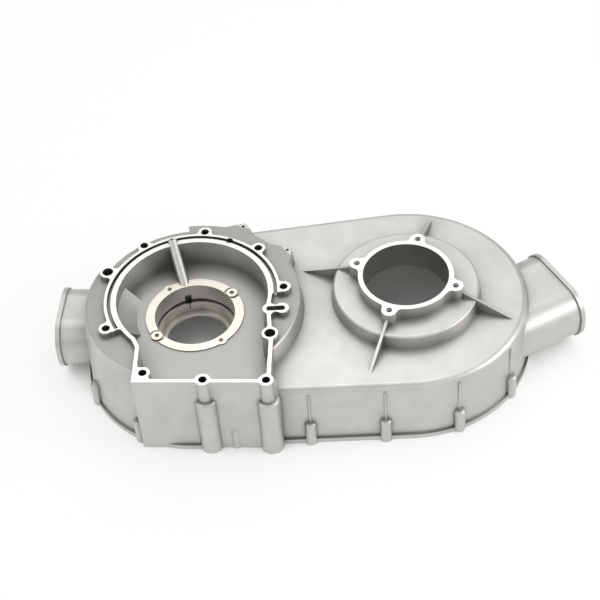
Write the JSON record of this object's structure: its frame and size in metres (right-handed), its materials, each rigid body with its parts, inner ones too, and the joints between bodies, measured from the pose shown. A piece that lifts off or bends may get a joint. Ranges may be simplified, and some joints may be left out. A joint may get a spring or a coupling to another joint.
{
  "type": "continuously variable transmission case",
  "caption": "Cast aluminium inner case of a belt drive transmission, with engine flange, bearing seat, driven shaft ring and air ducts.",
  "frame": {"origin": "on the crankshaft axis, at the machined seat of the bearing retainer", "axes": "+Z along the crankshaft towards the engine, +X towards the driven shaft, +Y towards the far side of the picture"},
  "size_m": [0.596, 0.2877, 0.1141],
  "materials": {
    "cast_aluminium": "satin die-cast skin with milled joint faces"
  },
  "bodies": {
    "root": {"case": "cast_aluminium"}
  },
  "joints": []
}
